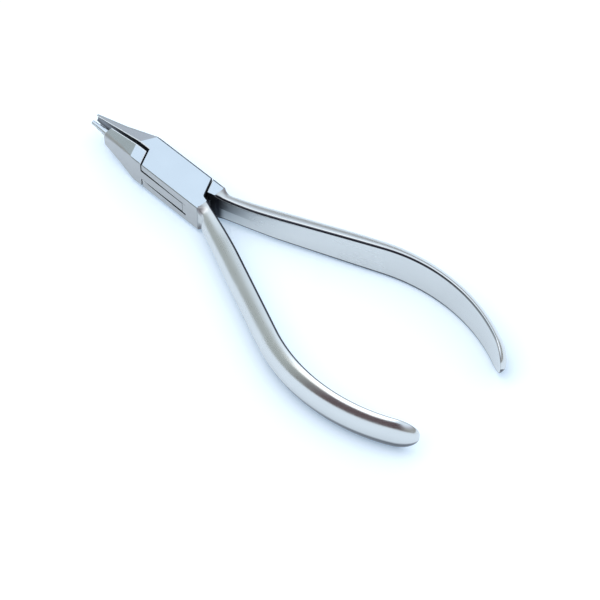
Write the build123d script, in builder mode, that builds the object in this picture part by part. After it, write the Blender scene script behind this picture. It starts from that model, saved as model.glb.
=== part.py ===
"""Three-step loop-forming orthodontic pliers with a box joint.

Frame: origin on the pivot axis at the lower face of the joint, +X to the jaw tips,
+Y to the side of the stepped jaw and +Z up along the pivot. Millimetres and degrees.
The box half has a mortise through its joint, the other half's web passes through it,
and a riveted pin ground flush with both cheeks joins them.
"""

import math
import os

from build123d import *

# joint block
joint_thickness = 8.2
joint_width = 9.8
cheek_thickness = 2.5
shoulder_angle = 28.1  # of the shoulders' normal from the long axis
shoulder_reach = 9.25  # pivot to the cheeks' oblique end faces
shoulder_gap = 0.38
jaw_gap = 0.7  # between the two jaws' inner faces, as shown
mortise_radius = 8.75
web_end_clearance = 0.1
web_side_clearance = 0.04
edge_break = 0.14  # chamfer along the slits
shoulder_break = 0.2  # chamfer along the shoulders
crotch_radius = 0.5  # between the jaws
heel_radius = 1.0  # between the handles

# pivot pin
pin_diameter = 3.6
pin_head_diameter = 5.2
pin_head_depth = 1.0
pin_running_clearance = 0.03  # radial, in the web

# jaws
jaw_root_x = 11.3
jaw_tip_x = 31.3
root_rise_inner = 0.52  # of the bevel above the joint's faces at the root
root_rise_outer = 0.12
tip_half_height = 1.0
tip_width = 0.95
tip_round = 0.5
inner_round = 0.18
belly_round = 1.1  # outer rounding half-way along the jaws
nose_x = 24.2
nose_half_height = 2.5
nose_width = 3.1
nose_round = 1.3
nose_edge = 0.45

# stepped forming tip: three round steps, largest first
step_diameters = (1.905, 1.524, 1.143)
step_lengths = (2.2, 2.2, 2.2)
step_axis_y = 1.3
groove_radius = 1.25
groove_depth = 0.42

# handles
knuckle_x = 12.8
heel_gap = 2.6  # between the two handles' inner faces at the knuckle, as shown
handle_start_angle = 15.0
handle_splay_angle = 23.4
neck_radius = 132.7
shank_length = 25.93
palm_radius = 45.0
palm_arc = 57.0
knuckle_inset = 0.3  # of the handle's outer curve inside the joint's side
knuckle_fillet = 2.0
collar_sink = 0.08  # the flare dives this far under the handle's surface
collar_settle = 0.13  # the neck's loss of height and gain of depth along the flare
collar_swell = 0.33
neck_height = 8.55
edge_softness = 0.55  # run of the broken edge along the handles' inner face
edge_lean = 0.38  # 0 for pointed shoulders of the section, 1 for square ones
end_round_length = 6.5

# shared results
mid_z = joint_thickness / 2
half_width = joint_width / 2
half_gap = jaw_gap / 2
slot_height = joint_thickness - 2 * cheek_thickness
web_height = slot_height - 2 * web_side_clearance
web_radius = mortise_radius - web_end_clearance
normal_x = math.cos(math.radians(shoulder_angle))
normal_y = math.sin(math.radians(shoulder_angle))
crotch_x = (shoulder_reach + half_gap * normal_y) / normal_x
knuckle_y = heel_gap / 2
heel_slope = math.tan(math.radians(handle_start_angle))
far_reach = shoulder_reach + shoulder_gap
neck_depth = half_width - knuckle_inset - knuckle_y

# share of the handle's length, full height and depth of the section there
handle_stations = (
    (0.00, neck_height, neck_depth),
    (0.09, 7.85, 4.35),
    (0.20, 8.60, 4.85),
    (0.34, 9.60, 4.85),
    (0.48, 10.50, 4.70),
    (0.60, 11.05, 4.15),
    (0.72, 11.15, 3.45),
    (0.83, 10.85, 2.70),
)
end_height = 10.1
end_depth = 2.1
end_shares = (0.0, 0.35, 0.62, 0.82, 0.94, 0.99)


def shoulder_x(reach, y):
    """Where a shoulder face at this reach from the pivot crosses the line of this y."""
    return (reach - y * normal_y) / normal_x


def heel_corner(reach, turn):
    """Where a handle's inner face meets a shoulder at the rear, as distances from the pivot; turn +1 or -1."""
    y = (knuckle_y - heel_slope * (knuckle_x - reach / normal_x)) / (1 - turn * heel_slope * normal_y / normal_x)
    return shoulder_x(reach, -turn * y), y


def handle_section(plane, half_height, depth):
    """A D-section: flat inner face, broken edges and a curved outer side."""
    lean = math.atan2((1 - edge_lean) * half_height, 4 / 3 * depth)
    soft = min(edge_softness, 0.35 * half_height, 0.35 * depth)
    x0 = soft * math.cos(lean)
    y0 = half_height - soft * math.sin(lean)
    x1 = (4 * depth - x0) / 3
    y1 = y0 - (x1 - x0) * math.tan(lean)
    flat = half_height - soft
    with BuildSketch(plane) as section:
        with BuildLine():
            Polyline((x0, -y0), (0, -flat), (0, flat), (x0, y0))
            Bezier((x0, y0), (x1, y1), (x1, -y1), (x0, -y0))
        make_face()
    return section.sketch


def handle_path(side):
    """A handle's inner edge in plan, from the knuckle to the end; side +1 is at +Y."""
    heading = Vector(1, 0).rotate(Axis.Z, 180 - side * handle_start_angle)
    turn = handle_splay_angle - handle_start_angle
    with BuildLine() as inner_edge:
        neck = JernArc((-knuckle_x, side * knuckle_y), heading, neck_radius, -side * turn)
        shank = PolarLine(neck @ 1, shank_length, direction=neck % 1)
        JernArc(shank @ 1, shank % 1, palm_radius, side * palm_arc)
    return inner_edge.wires()[0]


def handle_plane(path, share, side):
    """Plane square to the path with x outward; the first one lies on the knuckle's end face."""
    tangent = Vector(-1, 0) if share == 0 else path % share
    outward = Vector(side * tangent.Y, -side * tangent.X)
    origin = path @ share
    return Plane(origin=(origin.X, origin.Y, mid_z), x_dir=outward, z_dir=tangent)


def handle_sections(side):
    """D-sections from the knuckle to the rounded end."""
    path = handle_path(side)
    end_start = 1 - end_round_length / path.length
    rows = [(share, height / 2, depth) for share, height, depth in handle_stations]
    for share in end_shares:
        shrink = math.sqrt(1 - share**2)
        depth = end_depth * (0.25 + 0.75 * shrink)
        rows.append((end_start + share * (1 - end_start), end_height / 2 * shrink, depth))
    return [handle_section(handle_plane(path, u, side), h, d) for u, h, d in rows]


def collar_sections():
    """Hollow flare between the knuckle's end face and the handle's outer curve, for the handle at +Y."""
    sections = []
    for share in (0.0, 0.06, 0.16, 0.32, 0.58, 1.0):
        run = share * knuckle_fillet
        flare = knuckle_fillet * (1 - math.sqrt(1 - (1 - share) ** 2)) - collar_sink
        origin = (-knuckle_x - run, knuckle_y + run * heel_slope + collar_sink, mid_z)
        plane = Plane(origin=origin, x_dir=(0, 1, 0), z_dir=(-1, 0, 0))
        height = neck_height - collar_settle * run
        sections.append(handle_section(plane, height / 2 + flare, neck_depth + collar_swell * run + flare))
    return sections


def jaw_section(x, side, width, inner_half, outer_half, outer_round):
    """Flat inner face, sloping top and bottom, rounded outer corners."""
    plane = Plane(origin=(x, side * half_gap, mid_z), x_dir=(0, side, 0), z_dir=(1, 0, 0))
    with BuildSketch(plane) as section:
        with BuildLine():
            Polyline((0, -inner_half), (width, -outer_half), (width, outer_half), (0, inner_half), close=True)
        make_face()
        corners = section.vertices().sort_by(Axis.X)
        fillet(corners[2:], outer_round)
        fillet(corners[:2], inner_round)
    return section.sketch


def jaw_sections(side, end_x, end_half, end_width, end_round):
    """Three sections from the joint to the end of a jaw; side +1 is the stepped one."""
    root_width = half_width - half_gap
    middle_x = (jaw_root_x + end_x) / 2
    slope = (root_rise_inner - root_rise_outer) / root_width
    rows = (
        (jaw_root_x, root_width, mid_z + root_rise_inner, root_rise_outer),
        (middle_x, (root_width + end_width) / 2, (mid_z + root_rise_inner + end_half) / 2, belly_round),
        (end_x, end_width, end_half, end_round),
    )
    return [jaw_section(x, side, w, h, h - slope * w, r) for x, w, h, r in rows]


def break_slits(reach, from_x, to_x):
    """V-grooves along both slits on both sides of the joint, cut from the current half."""
    size = reach * math.sqrt(2)
    middle = (from_x + to_x) / 2
    for side in (1, -1):
        for z in (cheek_thickness, joint_thickness - cheek_thickness):
            with Locations(Location((side * middle, side * half_width, z), (45, 0, 0))):
                Box(to_x - from_x, size, size, mode=Mode.SUBTRACT)


def shoulder_edges(edges):
    """The long edges of the oblique shoulders on the joint's two faces."""
    along = Vector(-normal_y, normal_x)
    straight = edges.filter_by(GeomType.LINE)
    level = [e for e in straight if min(abs(e.center().Z), abs(e.center().Z - joint_thickness)) < 1e-4]
    return [e for e in level if (e % 0.5).cross(along).length < 1e-4]


with BuildPart() as collar:
    loft(collar_sections(), ruled=True)
    with Locations((-knuckle_x, 0, mid_z)):
        Box(joint_width, joint_width, joint_thickness, mode=Mode.INTERSECT)

with BuildPart() as box_half:
    loft(jaw_sections(-1, jaw_tip_x, tip_half_height, tip_width, tip_round), ruled=True)
    with Locations((0, 0, mid_z)):
        Box(4 * jaw_tip_x, 4 * joint_width, joint_thickness, mode=Mode.INTERSECT)
    groove_y = groove_radius - half_gap - groove_depth
    with Locations(Location((nose_x, groove_y, mid_z), (0, 90, 0))):
        Cylinder(groove_radius, 2 * jaw_tip_x, align=(Align.CENTER, Align.CENTER, Align.MIN), mode=Mode.SUBTRACT)
    box_heel = heel_corner(shoulder_reach, 1)
    with BuildSketch() as box_plan:
        with BuildLine():
            Polyline(
                (jaw_root_x, -half_width),
                (jaw_root_x, -half_gap),
                (crotch_x, -half_gap),
                (shoulder_x(shoulder_reach, half_width), half_width),
                (-knuckle_x, half_width),
                (-knuckle_x, knuckle_y),
                (-box_heel[0], box_heel[1]),
                (-shoulder_x(shoulder_reach, half_width), -half_width),
                close=True,
            )
        make_face()
        fillet(box_plan.vertices().sort_by_distance((crotch_x, -half_gap))[0], crotch_radius)
        fillet(box_plan.vertices().sort_by_distance((-box_heel[0], box_heel[1]))[0], heel_radius)
    extrude(amount=joint_thickness)
    chamfer(shoulder_edges(box_half.edges()), shoulder_break)
    loft(handle_sections(1))
    add(collar.part)
    with BuildSketch(Plane.XY.offset(cheek_thickness)) as mortise_plan:
        Circle(mortise_radius)
        with Locations((jaw_root_x, joint_width / 2 - half_gap)):
            Rectangle(2 * jaw_root_x, joint_width)
        with Locations((-jaw_root_x, half_gap - joint_width / 2)):
            Rectangle(2 * jaw_root_x, joint_width)
    extrude(amount=slot_height, mode=Mode.SUBTRACT)
    mortise_end = math.sqrt(mortise_radius**2 - half_width**2)
    break_slits(edge_break, -mortise_end, jaw_root_x)
    with Locations((0, 0, mid_z)):
        Cylinder(pin_diameter / 2, joint_thickness, mode=Mode.SUBTRACT)
    for z, bottom, top in (
        (0, pin_head_diameter, pin_diameter),
        (joint_thickness - pin_head_depth, pin_diameter, pin_head_diameter),
    ):
        with Locations((0, 0, z + pin_head_depth / 2)):
            Cone(bottom / 2, top / 2, pin_head_depth, mode=Mode.SUBTRACT)

with BuildPart() as through_half:
    loft(jaw_sections(1, nose_x, nose_half_height, nose_width, nose_round), ruled=True)
    with Locations((0, 0, mid_z)):
        Box(4 * jaw_tip_x, 4 * joint_width, joint_thickness, mode=Mode.INTERSECT)
    fillet(through_half.faces().sort_by(Axis.X)[-1].edges(), nose_edge)
    with BuildSketch(Plane.XY.offset(mid_z)) as step_profile:
        with BuildLine():
            outline = [(nose_x - 1, step_axis_y)]
            x = nose_x - 1
            for diameter, step in zip(step_diameters, step_lengths):
                outline.append((x, step_axis_y + diameter / 2))
                x = (nose_x if x < nose_x else x) + step
                outline.append((x, step_axis_y + diameter / 2))
            outline.append((x, step_axis_y))
            Polyline(*outline, close=True)
        make_face()
    revolve(axis=Axis((0, step_axis_y, mid_z), (1, 0, 0)))
    through_heel = heel_corner(far_reach, -1)
    with BuildSketch() as root_plan:
        with BuildLine():
            Polyline(
                (shoulder_x(far_reach, half_gap), half_gap),
                (shoulder_x(far_reach, half_width), half_width),
                (jaw_root_x, half_width),
                (jaw_root_x, half_gap),
                close=True,
            )
        make_face()
        with BuildLine():
            Polyline(
                (-through_heel[0], -through_heel[1]),
                (-shoulder_x(far_reach, half_width), -half_width),
                (-knuckle_x, -half_width),
                (-knuckle_x, -knuckle_y),
                close=True,
            )
        make_face()
    extrude(amount=joint_thickness)
    chamfer(shoulder_edges(through_half.edges()), shoulder_break)
    loft(handle_sections(-1))
    with Locations(Location((0, 0, joint_thickness), (180, 0, 0))):
        add(collar.part)
    with BuildSketch(Plane.XY.offset(cheek_thickness + web_side_clearance)) as web_plan:
        Circle(web_radius)
        Rectangle(4 * web_radius, joint_width, mode=Mode.INTERSECT)
        for side in (1, -1):
            with Locations((side * jaw_root_x / 2, side * (half_width + half_gap) / 2)):
                Rectangle(jaw_root_x, half_width - half_gap)
    extrude(amount=web_height)
    break_slits(edge_break + web_side_clearance, -jaw_root_x, shoulder_x(far_reach, half_width))
    with Locations((0, 0, mid_z)):
        Cylinder(pin_diameter / 2 + pin_running_clearance, joint_thickness, mode=Mode.SUBTRACT)

with BuildPart() as pivot_pin:
    with Locations((0, 0, mid_z)):
        Cylinder(pin_diameter / 2, joint_thickness)
    for z, bottom, top in (
        (0, pin_head_diameter, pin_diameter),
        (joint_thickness - pin_head_depth, pin_diameter, pin_head_diameter),
    ):
        with Locations((0, 0, z + pin_head_depth / 2)):
            Cone(bottom / 2, top / 2, pin_head_depth)

box_half.part.label = "box_half"
through_half.part.label = "through_half"
pivot_pin.part.label = "pivot_pin"

os.makedirs("parts", exist_ok=True)
export_step(box_half.part, "parts/box_half.step")
export_step(through_half.part, "parts/through_half.step")
export_step(pivot_pin.part, "parts/pivot_pin.step")
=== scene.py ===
import math

import bmesh
import bpy
from bpy.props import FloatProperty, FloatVectorProperty, IntProperty, PointerProperty
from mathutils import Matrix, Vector


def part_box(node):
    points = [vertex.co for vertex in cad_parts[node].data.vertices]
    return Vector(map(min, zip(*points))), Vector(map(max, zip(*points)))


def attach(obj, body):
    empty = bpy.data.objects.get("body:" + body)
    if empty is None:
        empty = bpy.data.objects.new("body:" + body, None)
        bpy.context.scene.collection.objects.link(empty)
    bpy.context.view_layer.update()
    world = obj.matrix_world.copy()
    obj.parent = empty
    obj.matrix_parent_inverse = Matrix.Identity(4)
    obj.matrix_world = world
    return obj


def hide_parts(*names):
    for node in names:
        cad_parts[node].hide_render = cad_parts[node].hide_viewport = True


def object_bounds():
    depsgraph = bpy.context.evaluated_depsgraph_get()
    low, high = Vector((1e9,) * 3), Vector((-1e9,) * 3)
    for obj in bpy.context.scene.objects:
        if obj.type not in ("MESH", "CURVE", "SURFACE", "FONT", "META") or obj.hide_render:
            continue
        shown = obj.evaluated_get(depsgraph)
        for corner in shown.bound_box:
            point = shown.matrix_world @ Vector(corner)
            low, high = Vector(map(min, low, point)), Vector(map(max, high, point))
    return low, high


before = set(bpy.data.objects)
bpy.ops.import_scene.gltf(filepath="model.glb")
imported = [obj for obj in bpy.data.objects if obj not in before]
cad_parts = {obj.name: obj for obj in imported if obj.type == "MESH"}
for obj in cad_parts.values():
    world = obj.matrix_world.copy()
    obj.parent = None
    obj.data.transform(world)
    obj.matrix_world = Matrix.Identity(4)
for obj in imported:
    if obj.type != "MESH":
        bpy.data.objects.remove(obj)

cad_low, cad_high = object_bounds()
pin_low, pin_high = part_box("pivot_pin")
middle_z = (pin_low.z + pin_high.z) / 2

bl_info = {
    "name": "Loop-forming pliers",
    "version": (1, 0, 0),
    "blender": (4, 5, 0),
    "location": "3D View > Sidebar > Pliers",
    "description": "Polished steel looks and studio for a pair of box-joint pliers",
    "category": "Object",
}

# lengths are in metres throughout

# share of a handle's length, full height and depth of its section there
HANDLE_STATIONS = (
    (0.00, 0.00855, 0.0033),
    (0.09, 0.00785, 0.00435),
    (0.20, 0.0086, 0.00485),
    (0.34, 0.0096, 0.00485),
    (0.48, 0.0105, 0.00470),
    (0.60, 0.01105, 0.00415),
    (0.72, 0.01115, 0.00350),
    (0.83, 0.0110, 0.00305),
    (0.928, 0.0107, 0.00275),
    (1.00, 0.0105, 0.0026),
)
FULL_HEIGHT = 0.012
FULL_DEPTH = 0.006

# half height and depth at which the handle's section is drawn, before the stations stretch it
DRAWN_HALF = 0.0049
DRAWN_DEPTH = 0.0045

# runs of the upper half of the section: on the flat inner face, round the soft edge, on the outer curve
FLAT_RUNS = 6
SOFT_RUNS = 14
OUTER_RUNS = 32

# row share against length share of a handle: rows crowd at the hollow and at the rounded end
ROW_SPACING = ((0.0, 0.0), (0.006, 0.0), (0.10, 0.036), (0.80, 0.925), (0.93, 0.99), (1.0, 1.0))

# row share below which a row closes the root, and the step between points of the inner edge
ROOT_ROW = 0.002
ROUTE_STEP = 0.0004

# share of the depth left at the very end, and the length shares between which the palm begins to lean
END_DEPTH = 0.25
PALM_LEAN_SPAN = (0.38, 0.66)

# a handle's root: its length inside the block, how far it lies under the block's faces, the distance
# behind the block where it may grow past them, and the softness of that limit above and at the side,
# where it also grows faster
ROOT_LEAD = 0.0006
ROOT_SUNK = 0.00002
ROOT_FREE = 0.002
ROOT_BLEND = 0.0005
SIDE_BLEND = 0.0006
SIDE_GROWTH = 2.0

# the jaws' inner edges beside the gap: x, y, height above the middle and run of the broken edge
HOLLOW_JAW_RIM = ((0.0139, -0.00035, 0.00415, -0.0002), (0.0320, -0.00035, 0.000873, -0.0001))
STEPPED_JAW_RIM = (
    (0.0102, 0.00074, 0.0041, 0.0003),
    (0.01421, 0.00083, 0.0041, 0.0003),
    (0.0243, 0.000715, 0.00245, 0.00025),
)

# fall of a broken edge over its run
HOLLOW_RIM_DROP = 1.0
STEPPED_RIM_DROP = 0.4

# the stepped jaw's leaning inner face: x and the height above the middle where the lean begins, and
# the height that its cut reaches
GAP_FEET = ((0.0102, 0.00214), (0.02435, 0.0006))
GAP_TOP = 0.0051

# corners of a cutting bar's six sides
BAR_SIDES = ((0, 1, 3, 2), (4, 6, 7, 5), (0, 2, 6, 4), (1, 5, 7, 3), (0, 4, 5, 1), (2, 3, 7, 6))

# slope of the chamfers on the near side
NEAR_SLOPE = math.radians(45)

# a cutting bar reaches this far past what it cuts: above a rim, below a foot, into the open gap
RIM_SPARE = 0.002
FOOT_SPARE = 0.0001
GAP_SPARE = 0.0003

# both sides of a rim's cut, in shares of the broken edge's run
RIM_ENDS = (-0.6, 1.8)

# the web's play between the cheeks, and how far short of the knuckle's end face a head is cut off
WEB_PLAY = 0.00004
HEAD_END = 0.00012

# distances from the faces of the joint block and from the pivot that part one finish from another
CHEEK_BAND = 0.0019
WALL_SKIN = 0.00003
JAW_START = 0.0113
GAP_START = 0.0095
SHANK_START = -0.009
HOLLOW_RIM_REACH = 0.0009
STEPPED_RIM_REACH = 0.0014
SHANK_INNER_REACH = 0.0021

# parts of a face's normal that tell one finish from another
DIAGONAL = 0.707
CHAMFER_PLAY = 0.06
EDGE_PLAY = 0.02
SHOULDER_FACING = 0.985
RIM_TILT = (0.25, 0.97)
NOSE_INNER_FACING = 0.3
NOSE_TOP_FACING = 0.35
INNER_FACING = 0.5
UPRIGHT_TILT = 0.3
WALL_FACING = 0.9
JAW_BACK_FACING = -0.25

# play of a cut, welding distances, and bends between faces: flat, creased beside a broad face, creased
# anywhere
CUT_PLAY = 1e-8
WELD = 1e-7
SLIVER = 1e-6
FLAT_BEND = math.radians(0.4)
BROAD_BEND = math.radians(3)
SHARP_BEND = math.radians(25)

# square metres: faces at least this broad are ground planes, with sharp creases all round
BROAD_FACE = 6e-6

# material slots of one half
PLATE, WALL, HANDLE, CREVICE_SHADE, INNER_SHADE, EDGE, HIGHLIGHT, FAR_EDGE = range(8)

# finishes of a head: material, its colour, roughness where bright and where dull, and metal
# some of these finishes are painted shade and painted highlights
HEAD_STEELS = {
    PLATE: ("joint_plate", "plate_colour", 0.12, 0.2, 1.0),
    WALL: ("satin_wall", "wall_colour", 0.3, 0.4, 1.0),
    CREVICE_SHADE: ("joint_crevice", "crevice_shade_colour", 0.45, 0.6, 1.0),
    INNER_SHADE: ("jaw_inner_face", "inner_shade_colour", 0.3, 0.42, 1.0),
    EDGE: ("eased_edge", "edge_colour", 0.25, 0.35, 1.0),
    HIGHLIGHT: ("burnished_edge", "highlight_colour", 0.3, 0.4, 0.3),
    FAR_EDGE: ("far_edge", "far_edge_colour", 0.25, 0.35, 1.0),
}

# marks of the steel: stretch of the lines, scale of the clouds, shades of the clouds, and how much lines
# and clouds roughen it
GRAIN_STRETCH = (400.0, 9000.0, 9000.0)
STREAK_STRETCH = (6.0, 90.0, 1.0)
HEAD_CLOUDS = 160.0
HANDLE_CLOUDS = 120.0
HEAD_SHADES = (0.95, 1.04)
HANDLE_SHADES = (0.94, 1.05)
CLOUD_SHARE = 0.6
GRAIN_SHARE = 0.4
CLOUD_SATIN = 0.1
STREAK_SATIN = 0.06

# painted dark reflections and shade of a handle: soft steps along its rows, and around its section from the
# inner face outwards
LINE_BEGIN = 0.084
LINE_BEGIN_BELOW = -0.019
LINE_BLUR = 0.012
LINE_END = (0.146, 0.128)
NEAR_LINE_WIDER = 0.018
LINE_FADE = (0.95, 0.5, 0.45, 1.0)
ROOT_SHADE_UPPER = (0.20, 0.03)
ROOT_SHADE_LOWER = (0.10, 0.045)
ROOT_SHADE_AROUND = (0.075, 0.06)
UNDER_SHADE_RISE = (0.53, 0.595)
UNDER_SHADE_FALL = (0.93, 0.88)
UNDER_SHADE_BEGIN = (0.03, 0.07)
UNDER_SHADE_STRENGTH = (0.25, 0.6, 0.55, 0.9)
HOLLOW_SHADE_RISE = (0.185, 0.26)
HOLLOW_SHADE_FALL = (0.42, 0.35)
HOLLOW_SHADE_ALONG = (0.11, 0.065)
HOLLOW_SHADE_STRENGTH = 0.75

# roughness along a handle: start and end of a soft step, then its value at both
SHANK_SATIN = (0.62, 0.42, 0.09, 0.2)
ROOT_SATIN = (0.13, 0.07, 0.0, 0.18)

# the sky: height and colour of its bands
SKY_BANDS = (
    (0.00, (0.27, 0.28, 0.28)),
    (0.10, (0.29, 0.30, 0.30)),
    (0.20, (0.31, 0.33, 0.34)),
    (0.32, (0.35, 0.385, 0.41)),
    (0.47, (0.55, 0.595, 0.72)),
    (0.60, (0.70, 0.82, 0.94)),
    (0.77, (0.685, 0.825, 0.97)),
    (1.00, (0.75, 0.83, 0.90)),
)
SKY_STRENGTH = 1.5

# a grey wall ahead of the jaws and a dark side of the room: direction, soft edges and colour
WALL_WAY = (0.951, 0.309, 0.0)
WALL_SPAN = (0.56, 0.68)
WALL_TOP = (0.73, 0.65)
WALL_COLOUR = (0.345, 0.395, 0.405)
DARK_WAY = (-0.174, 0.985, 0.0)
DARK_SPAN = (0.60, 0.97)
DARK_FOOT = (0.0, 0.09)
DARK_TOP = (0.64, 0.605)
DARK_COLOUR = (0.10, 0.075, 0.085)

FLOOR_RADIUS = 3.0
FLOOR_SIDES = 96
FLOOR_DROP = 0.00002
SOFTBOX_SIZE = 1.15
SOFTBOX_PLACE = (0.12, 0.50, 1.06)


class HandleSizes(bpy.types.PropertyGroup):
    """Sizes of the joint, the jaws' gap and the two forged handles."""

    knuckle_x: FloatProperty(
        name="Knuckle",
        description="Distance from the pivot to the joint's rear end face",
        default=0.0128,
        unit="LENGTH",
    )
    knuckle_y: FloatProperty(
        name="Knuckle inset",
        description="Distance of the inner face from the long axis there",
        default=0.0013,
        unit="LENGTH",
    )
    half_width: FloatProperty(
        name="Joint half width",
        description="Half the width of the joint block",
        default=0.0049,
        unit="LENGTH",
    )
    half_height: FloatProperty(
        name="Joint half height",
        description="Half the thickness of the joint block",
        default=(pin_high.z - pin_low.z) / 2,
        unit="LENGTH",
    )
    start_angle: FloatProperty(
        name="Root angle",
        description="Angle of the inner face at the knuckle",
        default=math.radians(15.0),
        subtype="ANGLE",
    )
    splay_angle: FloatProperty(
        name="Splay",
        description="Angle of the straight shank to the long axis",
        default=math.radians(23.4),
        subtype="ANGLE",
    )
    neck_radius: FloatProperty(
        name="Neck radius", description="Bend between knuckle and shank", default=0.1327, unit="LENGTH"
    )
    shank_length: FloatProperty(
        name="Shank", description="Straight length of the handle", default=0.02593, unit="LENGTH"
    )
    palm_radius: FloatProperty(
        name="Palm radius", description="Bend of the rear part", default=0.044, unit="LENGTH"
    )
    palm_arc: FloatProperty(
        name="Palm arc", description="Angle of the rear bend", default=math.radians(58.2), subtype="ANGLE"
    )
    flare: FloatProperty(
        name="Knuckle hollow",
        description="Radius of the hollow at the knuckle",
        default=0.0023,
        unit="LENGTH",
    )
    end_round: FloatProperty(
        name="End rounding", description="Length of the rounded end", default=0.0060, unit="LENGTH"
    )
    edge_softness: FloatProperty(
        name="Edge softness",
        description="Run of the rounded edge beside the inner face",
        default=0.0013,
        unit="LENGTH",
    )
    crest: FloatProperty(
        name="Crest",
        description="Top of the section as a share of its half height",
        default=0.966,
        subtype="FACTOR",
    )
    edge_lean: FloatProperty(
        name="Edge lean",
        description="0 for pointed shoulders of the section, 1 for square ones",
        default=0.66,
        subtype="FACTOR",
    )
    edge_break: FloatProperty(
        name="Edge break",
        description="Chamfer of the joint's long edges on the near side",
        default=0.00016,
        unit="LENGTH",
    )
    palm_lean: FloatProperty(
        name="Palm lean",
        description="Fall of the section towards the outside at the palm",
        default=0.15,
        subtype="FACTOR",
    )
    far_break: FloatProperty(
        name="Far edge break",
        description="Chamfer of the joint's long edges on the far side",
        default=0.0005,
        unit="LENGTH",
    )
    far_slope: FloatProperty(
        name="Far edge slope",
        description="Slope of the far side's chamfer",
        default=math.radians(30.0),
        subtype="ANGLE",
    )
    cheek: FloatProperty(
        name="Cheek", description="Thickness of the mortised cheeks", default=0.0025, unit="LENGTH"
    )
    shoulder_angle: FloatProperty(
        name="Shoulders",
        description="Angle of the shoulders' normal from the long axis",
        default=math.radians(28.1),
        subtype="ANGLE",
    )
    nose_x: FloatProperty(
        name="Nose", description="Distance from the pivot to the stepped tip", default=0.0242, unit="LENGTH"
    )
    slit_reach: FloatProperty(
        name="Slit reach", description="Half the length of the slits", default=0.0083, unit="LENGTH"
    )
    slit_depth: FloatProperty(
        name="Slit depth", description="Depth of the opened slits", default=0.0008, unit="LENGTH"
    )
    slit_wide: FloatProperty(
        name="Slit wide", description="Height of a slit at its open end", default=0.0006, unit="LENGTH"
    )
    slit_narrow: FloatProperty(
        name="Slit narrow", description="Height of a slit at its tight end", default=0.00008, unit="LENGTH"
    )
    jaw_gap: FloatProperty(
        name="Jaw gap", description="Gap between the jaws at rest", default=0.0007, unit="LENGTH"
    )
    gap_lean: FloatProperty(
        name="Gap lean",
        description="Lean of the stepped jaw's inner face, run over rise",
        default=0.2,
        subtype="FACTOR",
    )
    rows: IntProperty(name="Rows", description="Rows of faces along a handle", default=230)


def colour_setting(name, description, default):
    """A colour that the sidebar shows."""
    return FloatVectorProperty(name=name, description=description, default=default, subtype="COLOR", size=3)


class SteelFinish(bpy.types.PropertyGroup):
    """Colours of the steel, and of its painted shade and painted highlights."""

    polish_colour: colour_setting("Polish", "Colour of the polished handles", (0.62, 0.615, 0.60))
    # painted shade: dark reflections along the inner face's edges, shade at its root and along the underside
    painted_shade_colour: colour_setting("Painted shade", "Colour of the handles' dark lines", (0.045, 0.045, 0.055))
    # painted shade in the knuckle's hollow
    hollow_shade_colour: colour_setting("Hollow shade", "Colour of the smudge in the hollow", (0.20, 0.165, 0.16))
    plate_colour: colour_setting("Plate", "Colour of the ground joint faces", (0.61, 0.63, 0.65))
    wall_colour: colour_setting("Wall", "Colour of the satin side walls", (0.455, 0.443, 0.432))
    # painted shade on the faces inside the joint
    crevice_shade_colour: colour_setting(
        "Crevice", "Colour of the dark shaded faces inside the joint", (0.05, 0.05, 0.055)
    )
    # painted shade on the jaws' inner faces and on the faces between the handles
    inner_shade_colour: colour_setting("Inner faces", "Colour of the jaws' ground inner faces", (0.20, 0.205, 0.22))
    # painted dark lines on the long edges' chamfers
    edge_colour: colour_setting("Eased edges", "Colour of the near long edges", (0.30, 0.32, 0.32))
    far_edge_colour: colour_setting("Far edges", "Colour of the far long edges", (0.09, 0.095, 0.11))
    # painted highlights: a pale, half-metal finish on narrow edge faces
    highlight_colour: colour_setting(
        "Burnished edges", "Colour of the edges along slits, shoulders and jaws", (0.92, 0.93, 0.94)
    )


class StudioSettings(bpy.types.PropertyGroup):
    """Floor, light and camera."""

    floor_colour: colour_setting("Floor", "Colour of the floor", (0.86, 0.86, 0.86))
    floor_glow: colour_setting("Floor glow", "Glow that lifts the floor to white", (0.12, 0.19, 0.27))
    box_power: FloatProperty(
        name="Softbox", description="Power of the overhead softbox", default=4.6, unit="POWER"
    )
    camera_azimuth: FloatProperty(
        name="Azimuth",
        description="Camera direction from -Y towards +X",
        default=math.radians(225.42),
        subtype="ANGLE",
    )
    camera_elevation: FloatProperty(
        name="Elevation", description="Camera height angle", default=math.radians(50.603), subtype="ANGLE"
    )
    camera_distance: FloatProperty(
        name="Distance", description="Camera to target", default=0.53225, unit="LENGTH"
    )
    camera_target: FloatVectorProperty(
        name="Target",
        description="Point at the picture's centre",
        default=(-0.049283, 0.004968, 0.0041),
        subtype="TRANSLATION",
        size=3,
    )
    camera_lens: FloatProperty(name="Lens", description="Focal length in millimetres", default=132.0)


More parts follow.
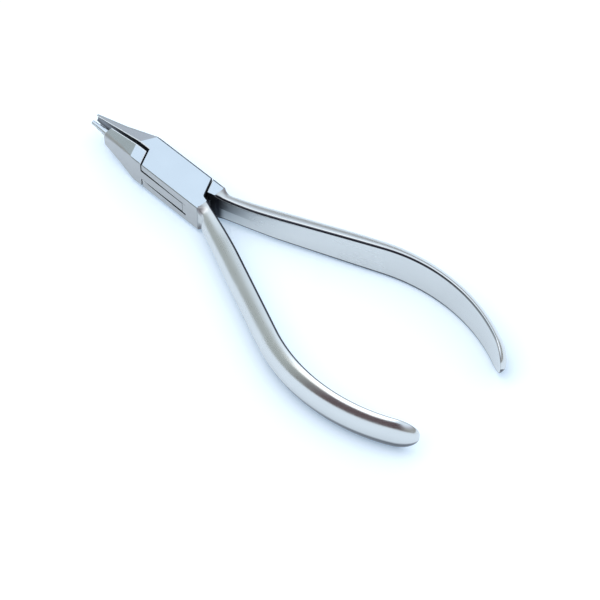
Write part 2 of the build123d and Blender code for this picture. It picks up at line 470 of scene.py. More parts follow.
class TreeWriter:
    """Adds nodes to a tree, each with its settings and inputs."""

    def __init__(self, tree):
        self.tree = tree
        self.tree.nodes.clear()

    def add(self, kind, *values, named=None, **settings):
        node = self.tree.nodes.new(kind)
        node.location = (180 * (len(self.tree.nodes) % 12), -220 * (len(self.tree.nodes) // 12))
        for key, value in settings.items():
            setattr(node, key, value)
        pairs = list(enumerate(values)) + list((named or {}).items())
        for key, value in pairs:
            self.feed(node.inputs[key], value)
        return node

    def feed(self, socket, value):
        if isinstance(value, bpy.types.NodeSocket):
            self.tree.links.new(value, socket)
        else:
            socket.default_value = value

    def math(self, operation, *values, clamp=False):
        return self.add("ShaderNodeMath", *values, operation=operation, use_clamp=clamp).outputs[0]

    def product(self, first, *others):
        for other in others:
            first = self.math("MULTIPLY", first, other)
        return first

    def vector(self, operation, *values):
        out = 1 if operation in ("DOT_PRODUCT", "LENGTH") else 0
        return self.add("ShaderNodeVectorMath", *values, operation=operation).outputs[out]

    def scaled(self, vector, factor):
        node = self.add("ShaderNodeVectorMath", vector, operation="SCALE", named={"Scale": factor})
        return node.outputs[0]

    def parts(self, vector):
        return self.add("ShaderNodeSeparateXYZ", vector).outputs

    def ramp(self, value, low, high):
        """A 0 to 1 value stretched between two numbers."""
        return self.add("ShaderNodeMapRange", value, 0.0, 1.0, low, high).outputs[0]

    def soft_step(self, value, start, end, low=0.0, high=1.0):
        """A smooth step of a value, from low at the start to high at the end."""
        settings = {"interpolation_type": "SMOOTHSTEP"}
        return self.add("ShaderNodeMapRange", value, start, end, low, high, **settings).outputs[0]

    def noise(self, place, scale, detail):
        named = {"Vector": place, "Scale": scale, "Detail": detail}
        return self.add("ShaderNodeTexNoise", named=named).outputs[0]

    def mix(self, factor, first, second):
        """A colour between two."""
        node = self.add("ShaderNodeMix", data_type="RGBA")
        for socket, value in ((0, factor), (6, first), (7, second)):
            self.feed(node.inputs[socket], value)
        return node.outputs[2]

    def curve(self, value, points, handle="AUTO"):
        node = self.add("ShaderNodeFloatCurve", named={"Value": value})
        line = node.mapping.curves[0]
        line.points[0].location = points[0]
        line.points[1].location = points[-1]
        for x, y in points[1:-1]:
            line.points.new(x, y)
        for point in line.points:
            point.handle_type = handle
        node.mapping.update()
        return node.outputs[0]


def handle_tree():
    """Geometry nodes that sweep a D-section along a handle's inner edge, flared into its knuckle."""
    if "Forged handle" in bpy.data.node_groups:
        return bpy.data.node_groups["Forged handle"]
    tree = bpy.data.node_groups.new("Forged handle", "GeometryNodeTree")
    sockets = tree.interface
    sockets.new_socket("Geometry", in_out="OUTPUT", socket_type="NodeSocketGeometry")
    for name, kind in (
        ("Inner Edge", "NodeSocketObject"),
        ("Section", "NodeSocketObject"),
        ("Side", "NodeSocketFloat"),
        ("Rows", "NodeSocketInt"),
        ("Points", "NodeSocketInt"),
        ("Length", "NodeSocketFloat"),
        ("End Round", "NodeSocketFloat"),
        ("Knuckle", "NodeSocketFloat"),
        ("Flare", "NodeSocketFloat"),
        ("Palm Lean", "NodeSocketFloat"),
        ("Half Height", "NodeSocketFloat"),
        ("Half Width", "NodeSocketFloat"),
        ("Steel", "NodeSocketMaterial"),
    ):
        sockets.new_socket(name, in_out="INPUT", socket_type=kind)
    w = TreeWriter(tree)
    given = w.add("NodeGroupInput").outputs
    grid = w.add("GeometryNodeMeshGrid", 1.0, 1.0, given["Rows"], given["Points"])
    place = w.parts(w.add("GeometryNodeInputPosition").outputs[0])
    row = w.math("ADD", place[0], 0.5)
    turn = w.math("ADD", place[1], 0.5)

    # the first row closes the root
    share = w.curve(row, ROW_SPACING, "VECTOR")
    opened = w.math("GREATER_THAN", row, ROOT_ROW)

    edge = w.add("GeometryNodeObjectInfo", given["Inner Edge"]).outputs["Geometry"]
    sampling = {"Curves": edge, "Factor": share}
    on_edge = w.add("GeometryNodeSampleCurve", mode="FACTOR", named=sampling).outputs
    across = w.vector("CROSS_PRODUCT", on_edge["Tangent"], (0.0, 0.0, 1.0))
    outward = w.scaled(across, given["Side"])

    section = w.add("GeometryNodeObjectInfo", given["Section"]).outputs["Geometry"]
    last = w.math("SUBTRACT", given["Points"], 1.0)
    index = w.math("ROUND", w.math("MULTIPLY", turn, last))
    sampled = {}
    for name, kind in (("place", "GeometryNodeInputPosition"), ("along", "GeometryNodeInputTangent")):
        field = w.add(kind).outputs[0]
        node = w.add(
            "GeometryNodeSampleIndex",
            data_type="FLOAT_VECTOR",
            domain="POINT",
            named={"Geometry": section, "Value": field, "Index": index},
        )
        sampled[name] = w.parts(node.outputs[0])

    # height and depth of the section along the handle, closing over the rounded end
    heights = [(u, h / FULL_HEIGHT) for u, h, d in HANDLE_STATIONS]
    depths = [(u, d / FULL_DEPTH) for u, h, d in HANDLE_STATIONS]
    height = w.math("MULTIPLY", w.curve(share, heights), FULL_HEIGHT / 2)
    depth = w.math("MULTIPLY", w.curve(share, depths), FULL_DEPTH)
    before = w.math("SUBTRACT", 1.0, w.math("DIVIDE", given["End Round"], given["Length"]))
    past = w.math("DIVIDE", w.math("SUBTRACT", share, before), w.math("SUBTRACT", 1.0, before), clamp=True)
    shrink = w.math("SQRT", w.math("SUBTRACT", 1.0, w.math("MULTIPLY", past, past), clamp=True))
    height = w.product(height, shrink, opened)
    depth = w.product(depth, w.math("MULTIPLY_ADD", shrink, 1.0 - END_DEPTH, END_DEPTH), opened)
    out = w.math("MULTIPLY", sampled["place"][0], depth)
    up = w.math("MULTIPLY", sampled["place"][1], height)
    rounder = w.soft_step(share, *PALM_LEAN_SPAN, 0.0, given["Palm Lean"])
    up = w.math("MULTIPLY", up, w.math("SUBTRACT", 1.0, w.math("MULTIPLY", sampled["place"][0], rounder)))

    # hollow flare towards the knuckle's end face
    ground = w.vector("ADD", on_edge["Position"], w.scaled(outward, out))
    run = w.math("SUBTRACT", w.math("MULTIPLY", w.parts(ground)[0], -1.0), given["Knuckle"])
    left = w.math("SUBTRACT", 1.0, w.math("DIVIDE", run, given["Flare"]), clamp=True)
    rise = w.math("SUBTRACT", 1.0, w.math("SQRT", w.math("SUBTRACT", 1.0, w.math("MULTIPLY", left, left))))
    swell = w.product(rise, given["Flare"], opened)
    lean_out = w.math("MAXIMUM", w.math("MULTIPLY", sampled["along"][1], -1.0), 0.0)
    lean_up = sampled["along"][0]
    out = w.math("MULTIPLY_ADD", swell, lean_out, out)
    up = w.math("MULTIPLY_ADD", swell, lean_up, up)

    # inside the knuckle the root stays just under the block's faces
    inside = w.math("LESS_THAN", run, 0.0)
    sunk = w.math("MULTIPLY", inside, ROOT_SUNK)
    spare = w.math("MAXIMUM", w.math("SUBTRACT", run, ROOT_FREE), 0.0)
    ceiling = w.math("ADD", w.math("SUBTRACT", given["Half Height"], sunk), spare)
    up = w.math("SMOOTH_MAX", up, w.math("MULTIPLY", ceiling, -1.0), ROOT_BLEND)
    up = w.math("SMOOTH_MIN", up, ceiling, ROOT_BLEND)
    out = w.math("MAXIMUM", out, sunk)
    side_y = w.math("MULTIPLY", w.parts(on_edge["Position"])[1], given["Side"])
    room = w.math("SUBTRACT", w.math("SUBTRACT", given["Half Width"], sunk), side_y)
    limit = w.math("ADD", room, w.math("MULTIPLY", spare, SIDE_GROWTH))
    out = w.math("SMOOTH_MIN", out, limit, SIDE_BLEND)

    lift = w.add("ShaderNodeCombineXYZ", 0.0, 0.0, up).outputs[0]
    final = w.vector("ADD", w.vector("ADD", on_edge["Position"], w.scaled(outward, out)), lift)
    mapped = w.add(
        "GeometryNodeStoreNamedAttribute",
        data_type="FLOAT2",
        domain="CORNER",
        named={"Geometry": grid.outputs["Mesh"], "Name": "UVMap", "Value": grid.outputs["UV Map"]},
    )
    shaped = w.add("GeometryNodeSetPosition", named={"Geometry": mapped.outputs[0], "Position": final})
    closed = w.add("GeometryNodeMergeByDistance", named={"Geometry": shaped.outputs[0], "Distance": WELD})
    real = w.add("GeometryNodeRealizeInstances", closed.outputs[0])
    steel = w.add("GeometryNodeSetMaterial", named={"Geometry": real.outputs[0], "Material": given["Steel"]})
    w.add("NodeGroupOutput", steel.outputs[0])
    return tree


def add_object(name, data):
    """An object in the scene for some data."""
    made = bpy.data.objects.new(name, data)
    bpy.context.scene.collection.objects.link(made)
    return made


def evaluated_mesh(host):
    """A plain mesh of an object with its modifiers applied."""
    return bpy.data.meshes.new_from_object(host.evaluated_get(bpy.context.evaluated_depsgraph_get()))


def line_object(name, points):
    """A curve of straight short runs through the points."""
    data = bpy.data.curves.new(name, "CURVE")
    data.dimensions = "3D"
    spline = data.splines.new("POLY")
    spline.points.add(len(points) - 1)
    for point, place in zip(spline.points, points):
        point.co = (*place, 1.0)
    return add_object(name, data)


def inner_edge(sizes, side):
    """A handle's inner edge in plan, from inside the knuckle to the end, and its length."""
    x = sizes.knuckle_x - ROOT_LEAD * math.cos(sizes.start_angle)
    y = sizes.knuckle_y - ROOT_LEAD * math.sin(sizes.start_angle)
    turn = sizes.splay_angle - sizes.start_angle
    runs = (
        (ROOT_LEAD, 0.0),
        (sizes.neck_radius * turn, 1 / sizes.neck_radius),
        (sizes.shank_length, 0.0),
        (sizes.palm_radius * sizes.palm_arc, -1 / sizes.palm_radius),
    )
    heading = sizes.start_angle
    points = [(-x, side * y, middle_z)]
    for length, bend in runs:
        count = max(1, round(length / ROUTE_STEP))
        for _ in range(count):
            heading += bend * length / count / 2
            x += math.cos(heading) * length / count
            y += math.sin(heading) * length / count
            heading += bend * length / count / 2
            points.append((-x, side * y, middle_z))
    return points, sum(length for length, bend in runs)


def section_points(sizes):
    """A D-section in shares of its depth and half height, with soft shoulders."""
    half, deep = DRAWN_HALF, DRAWN_DEPTH
    lean = math.atan2((1 - sizes.edge_lean) * half, 4 / 3 * deep)
    soft = sizes.edge_softness
    x0 = soft * math.cos(lean)
    y0 = half - soft * math.sin(lean)
    x1 = (4 * deep - x0) / 3
    y1 = y0 - (x1 - x0) * math.tan(lean)
    flat = half - soft
    # up the flat inner face, round the soft edge, then half of the outer curve
    points = [(0.0, flat * i / FLAT_RUNS) for i in range(FLAT_RUNS)]
    for i in range(SOFT_RUNS):
        t = i / SOFT_RUNS
        points.append((t * t * x0, (1 - t) ** 2 * flat + 2 * t * (1 - t) * half + t * t * y0))
    for i in range(OUTER_RUNS + 1):
        t = i / (2 * OUTER_RUNS)
        a, b, c, d = (1 - t) ** 3, 3 * t * (1 - t) ** 2, 3 * t * t * (1 - t), t**3
        points.append((a * x0 + b * x1 + c * x1 + d * x0, a * y0 + b * y1 - c * y1 - d * y0))
    crest = max(y for x, y in points)
    upper = [(x / deep, y / crest * sizes.crest, 0.0) for x, y in points]
    return upper + [(x, -y, z) for x, y, z in reversed(upper[:-1])]


def handle_mesh(name, side, steel):
    """One handle as a plain mesh."""
    sizes = bpy.context.scene.pliers_handles
    route, length = inner_edge(sizes, side)
    edge = line_object(name + "_edge", route)
    points = section_points(sizes)
    section = line_object(name + "_section", points)
    host = add_object(name, bpy.data.meshes.new(name))
    tree = handle_tree()
    nodes = host.modifiers.new("Forged handle", "NODES")
    nodes.node_group = tree
    values = {
        "Inner Edge": edge,
        "Section": section,
        "Side": float(side),
        "Rows": sizes.rows,
        "Points": len(points),
        "Length": length,
        "End Round": sizes.end_round,
        "Knuckle": sizes.knuckle_x,
        "Flare": sizes.flare,
        "Palm Lean": sizes.palm_lean,
        "Half Height": sizes.half_height,
        "Half Width": sizes.half_width,
        "Steel": steel,
    }
    for item in tree.interface.items_tree:
        if item.in_out == "INPUT":
            nodes[item.identifier] = values[item.name]
    mesh = evaluated_mesh(host)
    for extra in (host, edge, section):
        bpy.data.objects.remove(extra)
    made = bmesh.new()
    made.from_mesh(mesh)
    bmesh.ops.recalc_face_normals(made, faces=made.faces)
    made.to_mesh(mesh)
    made.free()
    mesh.shade_smooth()
    return mesh


def cut_off(made, place, normal):
    """Cut away what lies beyond a plane and close the cut."""
    everything = made.verts[:] + made.edges[:] + made.faces[:]
    bmesh.ops.bisect_plane(
        made, geom=everything, dist=CUT_PLAY, plane_co=place, plane_no=normal, clear_outer=True
    )
    rim = [edge for edge in made.edges if edge.is_boundary]
    bmesh.ops.holes_fill(made, edges=rim, sides=0)


def slit_cutters(sizes):
    """Widen the near wall's upper slit towards the jaws and the lower one towards the handles."""
    sides = (sizes.half_width - sizes.slit_depth, sizes.half_width + sizes.slit_depth)
    for level, front, rear in (
        (pin_high.z - sizes.cheek - WEB_PLAY, sizes.slit_wide, sizes.slit_narrow),
        (pin_low.z + sizes.cheek + WEB_PLAY, -sizes.slit_narrow, -sizes.slit_wide),
    ):
        ends = ((sizes.slit_reach, front), (-sizes.slit_reach, rear))
        yield [(x, [(y, z) for y in sides for z in (level, level + height)]) for x, height in ends]


def rim_cutters(rim, drop):
    """Break an edge of a jaw above and below: the cut falls by this share of its run."""
    for up in (1, -1):
        for pair in zip(rim, rim[1:]):
            ends = []
            for x, edge_y, height, run in pair:
                line = [(edge_y + run * t, height - abs(run) * drop * (1 - t)) for t in RIM_ENDS]
                outline = [(y, middle_z + up * z) for y, low in line for z in (low, low + RIM_SPARE)]
                ends.append((x, outline))
            yield ends


def gap_cutters(sizes):
    """Lean the stepped jaw's inner face back above and below, so that the gap opens outwards."""
    face_y = sizes.jaw_gap / 2
    for up in (1, -1):
        ends = []
        for x, foot in GAP_FEET:
            levels = (foot - FOOT_SPARE, GAP_TOP)
            outline = [(face_y - GAP_SPARE, middle_z + up * z) for z in levels]
            outline += [(face_y + sizes.gap_lean * (z - foot), middle_z + up * z) for z in levels]
            ends.append((x, outline))
        yield ends


def carve(mesh, ends):
    """Cut a six-sided bar out of a closed mesh: each end of it is an x and four places (y, z)."""
    made = bmesh.new()
    corners = [made.verts.new((x, y, z)) for x, outline in ends for y, z in outline]
    for loop in BAR_SIDES:
        made.faces.new([corners[i] for i in loop])
    bmesh.ops.recalc_face_normals(made, faces=made.faces)
    bar = bpy.data.meshes.new("cutter")
    made.to_mesh(bar)
    made.free()
    tool = add_object("cutter", bar)
    host = add_object("cutter_host", mesh)
    cut = host.modifiers.new("Cut", "BOOLEAN")
    cut.operation = "DIFFERENCE"
    cut.solver = "EXACT"
    cut.object = tool
    carved = evaluated_mesh(host)
    for extra in (tool, host):
        bpy.data.objects.remove(extra)
    return carved


def head_mesh(node):
    """Jaw and joint of one half: the CAD surface merged, cut off at its knuckle and eased."""
    sizes = bpy.context.scene.pliers_handles
    made = bmesh.new()
    made.from_mesh(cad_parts[node].data)
    bmesh.ops.remove_doubles(made, verts=made.verts, dist=WELD)
    cut_off(made, (-sizes.knuckle_x + HEAD_END, 0, 0), (-1, 0, 0))
    far = (-1, sizes.far_break, sizes.far_slope)
    near = (1, sizes.edge_break, NEAR_SLOPE)
    for across, run, slope in (far, near):
        for level, up in ((pin_low.z, -1), (pin_high.z, 1)):
            normal = (0, across * math.sin(slope), up * math.cos(slope))
            cut_off(made, (0, across * (sizes.half_width - run), level), normal)
    if node == "box_half":
        cutters = [*slit_cutters(sizes), *rim_cutters(HOLLOW_JAW_RIM, HOLLOW_RIM_DROP)]
    else:
        cutters = [*gap_cutters(sizes), *rim_cutters(STEPPED_JAW_RIM, STEPPED_RIM_DROP)]
    mesh = bpy.data.meshes.new(node + "_solid")
    made.to_mesh(mesh)
    for ends in cutters:
        mesh = carve(mesh, ends)
    made.clear()
    made.from_mesh(mesh)
    bmesh.ops.remove_doubles(made, verts=made.verts, dist=SLIVER)
    bmesh.ops.dissolve_degenerate(made, edges=made.edges, dist=SLIVER)
    bmesh.ops.dissolve_limit(made, angle_limit=FLAT_BEND, verts=made.verts, edges=made.edges)
    bmesh.ops.recalc_face_normals(made, faces=made.faces)
    for edge in made.edges:
        if len(edge.link_faces) != 2:
            continue
        bend = abs(edge.calc_face_angle(0.0))
        larger = max(face.calc_area() for face in edge.link_faces)
        if bend > SHARP_BEND or (bend > BROAD_BEND and larger > BROAD_FACE):
            edge.smooth = False
    for face in made.faces:
        face.smooth = True
    mesh = bpy.data.meshes.new(node + "_head")
    made.to_mesh(mesh)
    made.free()
    return mesh


def head_finish(face, side):
    """Slot of a head face's finish, by where it lies and faces; some slots are painted shade and highlights.
    """
    sizes = bpy.context.scene.pliers_handles
    place = face.calc_center_median()
    normal = face.normal
    toward = normal.y * side
    level = pin_low.z + CHEEK_BAND < place.z < pin_high.z - CHEEK_BAND
    within = abs(place.x) < JAW_START and abs(place.y) < sizes.half_width - WALL_SKIN
    across = abs(normal.x * math.cos(sizes.shoulder_angle) + normal.y * math.sin(sizes.shoulder_angle))
    jaw = place.x > JAW_START
    block = abs(place.x) < sizes.knuckle_x
    lengthwise = abs(normal.x) < EDGE_PLAY
    # painted shade on the shoulders, the inside of the joint and the shoulders' chamfers
    if across > SHOULDER_FACING or (level and within):
        return CREVICE_SHADE
    if abs(across - DIAGONAL) < CHAMFER_PLAY and abs(abs(normal.z) - DIAGONAL) < CHAMFER_PLAY:
        # the through half's shoulder chamfers take a painted highlight
        return CREVICE_SHADE if side > 0 else HIGHLIGHT
    # the block's long edges: painted highlights beside the slits, painted dark lines on the other chamfers
    if lengthwise and abs(abs(normal.y) - DIAGONAL) < EDGE_PLAY and block:
        return HIGHLIGHT if level else EDGE
    if lengthwise and abs(normal.y + math.sin(sizes.far_slope)) < EDGE_PLAY and not level:
        return FAR_EDGE
    # the jaws: painted highlights on the broken edges beside the gap, the tips, and painted shade on the
    # inner faces
    rim = place.x > GAP_START and RIM_TILT[0] < abs(normal.z) < RIM_TILT[1]
    outward = normal.z * (place.z - middle_z) > 0
    if side > 0 and rim and abs(place.y) < HOLLOW_RIM_REACH and outward:
        return HIGHLIGHT
    if place.x > sizes.nose_x and side > 0:
        return INNER_SHADE if normal.y > NOSE_INNER_FACING else PLATE
    # on the stepped tip the upward faces take the brighter plate steel and the rest the darker wall steel: a
    # painted highlight above and painted shade below
    if place.x > sizes.nose_x:
        return WALL if normal.z < NOSE_TOP_FACING else PLATE
    if rim and abs(place.y) < STEPPED_RIM_REACH and toward > 0:
        return HIGHLIGHT
    if place.x > GAP_START and toward > INNER_FACING:
        return INNER_SHADE
    # painted shade on the faces between the handles, then the side walls
    if abs(normal.z) < UPRIGHT_TILT and abs(place.y) < SHANK_INNER_REACH and place.x < SHANK_START:
        return INNER_SHADE
    if (abs(normal.y) > WALL_FACING and block) or (jaw and toward < JAW_BACK_FACING):
        return WALL
    return PLATE


def forged_half(name, node, body, side):
    """One half of the pliers, jaw to handle end, standing for its CAD node."""
    polish = polish_material("handle_polish", bpy.context.scene.pliers_steel)
    joined = bmesh.new()
    joined.from_mesh(head_mesh(node))
    if not joined.loops.layers.uv:
        joined.loops.layers.uv.new("UVMap")
    for face in joined.faces:
        face.material_index = head_finish(face, side)
    count = len(joined.faces)
    joined.from_mesh(handle_mesh(name + "_handle", side, polish))
    joined.faces.ensure_lookup_table()
    for face in joined.faces[count:]:
        face.material_index = HANDLE
    mesh = bpy.data.meshes.new(name)
    joined.to_mesh(mesh)
    joined.free()
    for slot in range(len(HEAD_STEELS) + 1):
        mesh.materials.append(polish if slot == HANDLE else head_steel(slot))
    made = add_object(name, mesh)
    flats = made.modifiers.new("Flat faces", "WEIGHTED_NORMAL")
    flats.keep_sharp = True
    flats.weight = 80
    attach(made, body)
    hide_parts(node)
    return made


def new_material(name):
    """An empty node material and the writer of its tree."""
    material = bpy.data.materials.new(name)
    material.use_nodes = True
    return material, TreeWriter(material.node_tree)


def shades(colour, darker, lighter):
    """A colour with less and with more light, as socket values."""
    return (*[c * darker for c in colour], 1.0), (*[min(1.0, c * lighter) for c in colour], 1.0)


def head_steel(slot):
    """Ground steel with faint cloudy marks and fine grinding lines along the tool."""
    name, colour, smooth, rough, metal = HEAD_STEELS[slot]
    if name in bpy.data.materials:
        return bpy.data.materials[name]
    material, w = new_material(name)
    place = w.add("ShaderNodeTexCoord").outputs["Object"]
    stretch = {"Vector": place, "Scale": GRAIN_STRETCH}
    grain = w.noise(w.add("ShaderNodeMapping", named=stretch).outputs[0], 1.0, 3.0)
    cloud = w.noise(place, HEAD_CLOUDS, 4.0)
    both = w.math("MULTIPLY_ADD", cloud, CLOUD_SHARE, w.math("MULTIPLY", grain, GRAIN_SHARE))
    tint = w.mix(cloud, *shades(getattr(bpy.context.scene.pliers_steel, colour), *HEAD_SHADES))
    bump = w.add("ShaderNodeBump", named={"Strength": 0.02, "Distance": 0.00002, "Height": grain})
    shader = w.add("ShaderNodeBsdfPrincipled", named={"Base Color": tint, "Metallic": metal})
    w.feed(shader.inputs["Roughness"], w.ramp(both, smooth, rough))
    w.feed(shader.inputs["Normal"], bump.outputs[0])
    w.add("ShaderNodeOutputMaterial", shader.outputs[0])
    return material


def polish_material(name, finish):
    """Polished steel with streaks along the handle and painted shade: dark edge lines, root and underside."""
    if name in bpy.data.materials:
        return bpy.data.materials[name]
    material, w = new_material(name)
    coordinates = w.add("ShaderNodeTexCoord").outputs
    stretch = {"Vector": coordinates["UV"], "Scale": STREAK_STRETCH}
    streak = w.noise(w.add("ShaderNodeMapping", named=stretch).outputs[0], 1.0, 4.0)
    cloud = w.noise(coordinates["Object"], HANDLE_CLOUDS, 4.0)
    tint = w.mix(cloud, *shades(finish.polish_colour, *HANDLE_SHADES))
    along, around, _ = w.parts(coordinates["UV"])
    # around runs up the inner face, over the edge and down the rounded outside, then back below
    half = w.math("SUBTRACT", 0.5, w.math("ABSOLUTE", w.math("SUBTRACT", around, 0.5)))

    # a painted dark reflection along the inner face's edges, wider on the near handle
    below = w.math("GREATER_THAN", around, 0.5)
    begin = w.math("MULTIPLY_ADD", below, LINE_BEGIN_BELOW, LINE_BEGIN)
    rise = w.math("DIVIDE", w.math("SUBTRACT", half, begin), LINE_BLUR)
    near = w.math("GREATER_THAN", w.parts(coordinates["Object"])[1], 0.0)
    tight = w.math("MULTIPLY_ADD", near, -NEAR_LINE_WIDER, half)
    line = w.product(w.soft_step(rise, -0.5, 0.5), w.soft_step(tight, *LINE_END))
    line = w.product(line, w.soft_step(along, *LINE_FADE))

    # painted shade at the inner face's root and along the underside
    upper = w.product(w.math("LESS_THAN", around, 0.5), w.soft_step(along, *ROOT_SHADE_UPPER))
    root = w.math("MAXIMUM", upper, w.soft_step(along, *ROOT_SHADE_LOWER))
    root = w.product(root, w.soft_step(half, *ROOT_SHADE_AROUND))
    under = w.product(w.soft_step(around, *UNDER_SHADE_RISE), w.soft_step(around, *UNDER_SHADE_FALL))
    under = w.product(under, w.soft_step(along, *UNDER_SHADE_BEGIN), w.soft_step(along, *UNDER_SHADE_STRENGTH))
    # all the painted dark reflections and shade together
    dark = w.math("MAXIMUM", w.math("MAXIMUM", line, root), under)

    # brown painted shade in the knuckle's hollow
    shade = w.product(w.soft_step(half, *HOLLOW_SHADE_RISE), w.soft_step(half, *HOLLOW_SHADE_FALL))
    shade = w.product(shade, w.soft_step(along, *HOLLOW_SHADE_ALONG), HOLLOW_SHADE_STRENGTH)
    colour = w.mix(shade, tint, (*finish.hollow_shade_colour, 1.0))
    colour = w.mix(dark, colour, (*finish.painted_shade_colour, 1.0))

    bump = w.add("ShaderNodeBump", named={"Strength": 0.012, "Distance": 0.00003, "Height": streak})
    shader = w.add("ShaderNodeBsdfPrincipled", named={"Base Color": colour, "Metallic": 1.0})
    satin = w.math("MULTIPLY_ADD", cloud, CLOUD_SATIN, w.soft_step(along, *SHANK_SATIN))
    satin = w.math("ADD", satin, w.soft_step(along, *ROOT_SATIN))
    w.feed(shader.inputs["Roughness"], w.math("MULTIPLY_ADD", streak, STREAK_SATIN, satin))
    w.feed(shader.inputs["Normal"], bump.outputs[0])
    w.add("ShaderNodeOutputMaterial", shader.outputs[0])
    return material


class PLIERS_OT_box_half(bpy.types.Operator):
    """Make the box half: hollowed jaw, mortised joint and near handle"""

    bl_idname = "pliers.box_half"
    bl_label = "Box half"

    def execute(self, context):
        forged_half("box_half_steel", "box_half", "box_side", 1)
        return {"FINISHED"}


class PLIERS_OT_through_half(bpy.types.Operator):
    """Make the through half: stepped jaw, web and far handle"""

    bl_idname = "pliers.through_half"
    bl_label = "Through half"

    def execute(self, context):
        forged_half("through_half_steel", "through_half", "through_side", -1)
        return {"FINISHED"}


class PLIERS_OT_pivot_pin(bpy.types.Operator):
    """Finish the pivot pin, ground flush with the joint's faces"""

    bl_idname = "pliers.pivot_pin"
    bl_label = "Pivot pin"

    def execute(self, context):
        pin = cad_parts["pivot_pin"]
        pin.data.materials.clear()
        pin.data.materials.append(head_steel(PLATE))
        return {"FINISHED"}


class PLIERS_OT_studio(bpy.types.Operator):
    """Set up the floor, the sky, the softbox and the camera"""

    bl_idname = "pliers.studio"
    bl_label = "Studio"

    def execute(self, context):
        studio = context.scene.pliers_studio
        make_floor(studio)
        make_sky()
        make_softbox(studio)
        make_camera(studio)
        context.scene.view_settings.view_transform = "Standard"
        return {"FINISHED"}


def make_floor(studio):
    """A wide pale floor under the handles, lifted to white where the tool casts no shadow."""
    mesh = bpy.data.meshes.new("floor")
    made = bmesh.new()
    bmesh.ops.create_circle(made, cap_ends=True, segments=FLOOR_SIDES, radius=FLOOR_RADIUS)
    bmesh.ops.translate(made, verts=made.verts, vec=(0.0, 0.0, cad_low[2] - FLOOR_DROP))
    made.to_mesh(mesh)
    made.free()
    floor = add_object("floor", mesh)
    material, w = new_material("pale_floor")
    rays = w.add("ShaderNodeLightPath").outputs
    mirrored = w.math("MAXIMUM", rays["Is Glossy Ray"], rays["Is Transmission Ray"])
    seen = w.math("MAXIMUM", rays["Is Camera Ray"], mirrored)
    paint = w.add("ShaderNodeBsdfDiffuse", (*studio.floor_colour, 1.0))
    glow = w.add("ShaderNodeEmission", (*studio.floor_glow, 1.0), seen)
    both = w.add("ShaderNodeAddShader", paint.outputs[0], glow.outputs[0])
    w.add("ShaderNodeOutputMaterial", both.outputs[0])
    mesh.materials.append(material)


def make_sky():
    """Soft sky: pale blue overhead, grey at the horizon, a grey wall ahead and a dark side of the room."""
    world = bpy.data.worlds.new("studio_sky")
    world.use_nodes = True
    bpy.context.scene.world = world
    w = TreeWriter(world.node_tree)
    way = w.add("ShaderNodeTexCoord").outputs["Generated"]
    height = w.parts(way)[2]
    sky = w.add("ShaderNodeValToRGB", height)
    bands = sky.color_ramp.elements
    while len(bands) < len(SKY_BANDS):
        bands.new(0.5)
    for band, (place, colour) in zip(bands, SKY_BANDS):
        band.position = place
        band.color = (*colour, 1.0)
    flat = w.vector("NORMALIZE", w.vector("MULTIPLY", way, (1.0, 1.0, 0.0)))
    # ahead of the jaws
    ahead = w.vector("DOT_PRODUCT", flat, WALL_WAY)
    wall = w.product(w.soft_step(height, *WALL_TOP), w.soft_step(ahead, *WALL_SPAN))
    colour = w.mix(wall, sky.outputs[0], (*WALL_COLOUR, 1.0))
    # towards the near handle's end
    side = w.vector("DOT_PRODUCT", flat, DARK_WAY)
    dark = w.product(w.soft_step(height, *DARK_FOOT), w.soft_step(height, *DARK_TOP))
    dark = w.product(w.soft_step(side, *DARK_SPAN), dark)
    colour = w.mix(dark, colour, (*DARK_COLOUR, 1.0))
    light = w.add("ShaderNodeBackground", colour, SKY_STRENGTH)
    w.add("ShaderNodeOutputWorld", light.outputs[0])


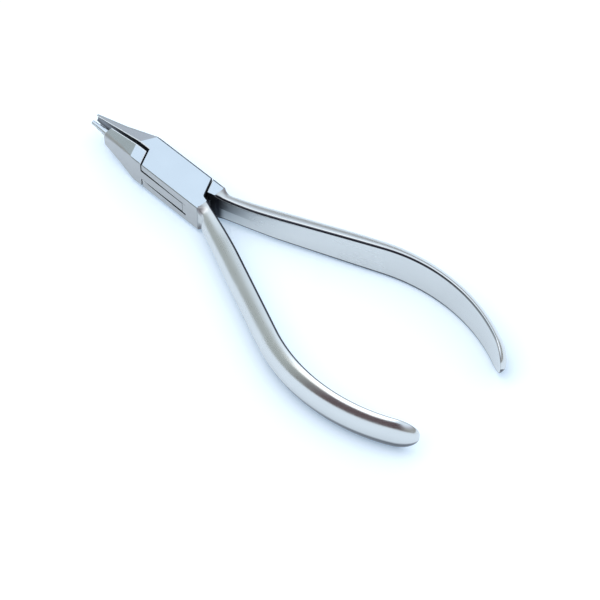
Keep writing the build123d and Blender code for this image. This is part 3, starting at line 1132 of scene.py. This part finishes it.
def make_softbox(studio):
    """A large soft light above the near side."""
    lamp = bpy.data.lights.new("softbox", "AREA")
    lamp.shape = "SQUARE"
    lamp.size = SOFTBOX_SIZE
    lamp.energy = studio.box_power
    lamp.color = (1.0, 1.0, 1.0)
    made = add_object("softbox", lamp)
    made.location = SOFTBOX_PLACE
    made.rotation_euler = made.location.to_track_quat("Z", "Y").to_euler()


def make_camera(studio):
    """Camera at the photograph's viewing angle."""
    data = bpy.data.cameras.new("camera")
    data.lens = studio.camera_lens
    data.sensor_width = 36.0
    data.clip_start = 0.01
    made = add_object("camera", data)
    level = math.cos(studio.camera_elevation)
    back = Vector(
        (
            level * math.sin(studio.camera_azimuth),
            -level * math.cos(studio.camera_azimuth),
            math.sin(studio.camera_elevation),
        )
    )
    made.location = Vector(studio.camera_target) + studio.camera_distance * back
    made.rotation_euler = back.to_track_quat("Z", "Y").to_euler()
    bpy.context.scene.camera = made


class PLIERS_PT_sidebar(bpy.types.Panel):
    """Lists the pieces and the studio."""

    bl_idname = "PLIERS_PT_sidebar"
    bl_label = "Pliers"
    bl_space_type = "VIEW_3D"
    bl_region_type = "UI"
    bl_category = "Pliers"

    def draw(self, context):
        for operator in OPERATORS:
            self.layout.operator(operator.bl_idname)
        for group in ("pliers_handles", "pliers_steel", "pliers_studio"):
            column = self.layout.column(align=True)
            settings = getattr(context.scene, group)
            for name in settings.__annotations__:
                column.prop(settings, name)


OPERATORS = (PLIERS_OT_box_half, PLIERS_OT_through_half, PLIERS_OT_pivot_pin, PLIERS_OT_studio)
CLASSES = (HandleSizes, SteelFinish, StudioSettings, *OPERATORS, PLIERS_PT_sidebar)


def register():
    for cls in CLASSES:
        bpy.utils.register_class(cls)
    bpy.types.Scene.pliers_handles = PointerProperty(type=HandleSizes)
    bpy.types.Scene.pliers_steel = PointerProperty(type=SteelFinish)
    bpy.types.Scene.pliers_studio = PointerProperty(type=StudioSettings)


def unregister():
    for name in ("pliers_studio", "pliers_steel", "pliers_handles"):
        delattr(bpy.types.Scene, name)
    for cls in reversed(CLASSES):
        bpy.utils.unregister_class(cls)


def main():
    register()
    bpy.ops.pliers.studio()
    bpy.ops.pliers.box_half()
    bpy.ops.pliers.through_half()
    bpy.ops.pliers.pivot_pin()


if __name__ == "__main__":
    main()
